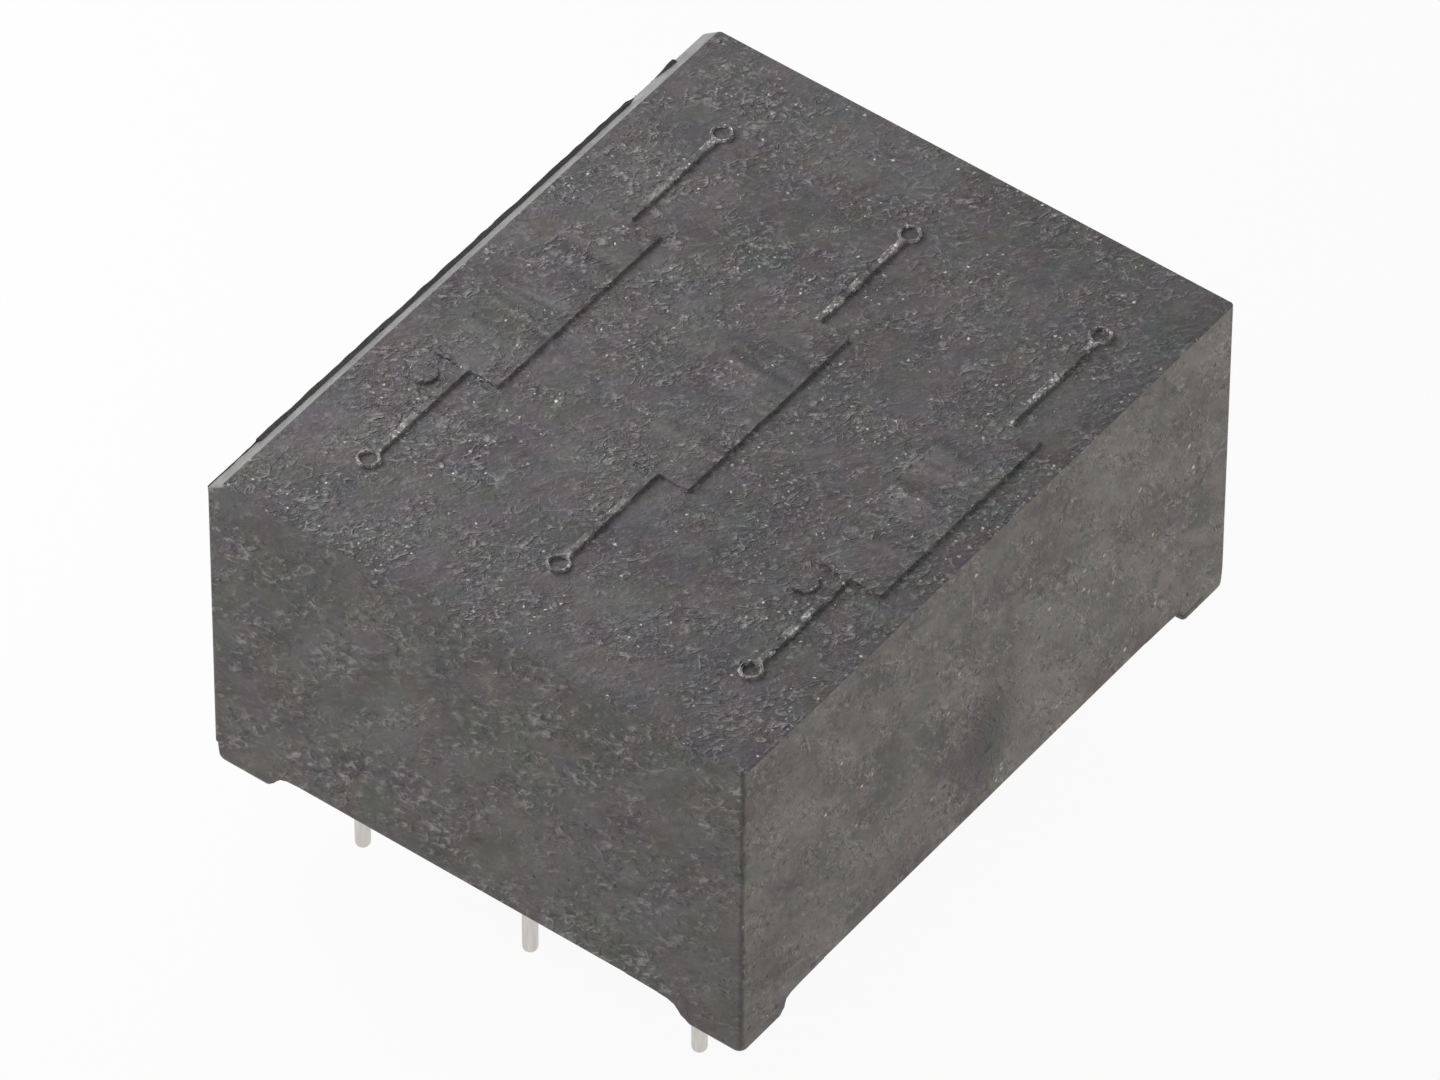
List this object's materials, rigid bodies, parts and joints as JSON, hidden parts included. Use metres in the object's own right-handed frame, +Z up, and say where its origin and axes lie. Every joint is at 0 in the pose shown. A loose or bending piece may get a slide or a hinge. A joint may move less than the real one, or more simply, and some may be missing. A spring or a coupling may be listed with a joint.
{
  "type": "pcb pulse transformer",
  "caption": "Potted pulse transformer in a dark moulded case with corner feet and a raised winding diagram; two rows of round tinned pins for a circuit board.",
  "frame": {"origin": "centre of the rectangle of the four corner pins, in the seating plane where the feet meet the board", "axes": "+X along the body from the first row of pins to the second, +Y along each row, +Z up out of the board"},
  "size_m": [0.0194, 0.0158, 0.0132],
  "materials": {
    "moulded_case": "dark grey glass-filled moulding with a spark-eroded grain",
    "potting_resin": "black filled epoxy, as it cured",
    "carrier_moulding": "black glass-filled moulding",
    "ferrite": "dark grey sintered ferrite",
    "sleeving": "off-white sleeving",
    "enamelled_wire": "copper wire under clear enamel",
    "tinned_wire": "hot-tinned wire, satin",
    "solder": "tin-lead solder, as it set"
  },
  "bodies": {
    "root": {"case": "moulded_case", "potting_resin": "potting_resin", "pin_carrier": "carrier_moulding", "ring_core": "ferrite", "lead_sleeve": "sleeving", "winding_1": "enamelled_wire", "winding_2": "enamelled_wire", "winding_3": "enamelled_wire", "pin_1": "tinned_wire", "pin_2": "tinned_wire", "pin_3": "tinned_wire", "pin_4": "tinned_wire", "pin_5": "tinned_wire", "pin_6": "tinned_wire", "solder_joint_1": "solder", "solder_joint_2": "solder", "solder_joint_3": "solder", "solder_joint_4": "solder", "solder_joint_5": "solder", "solder_joint_6": "solder"}
  },
  "joints": []
}
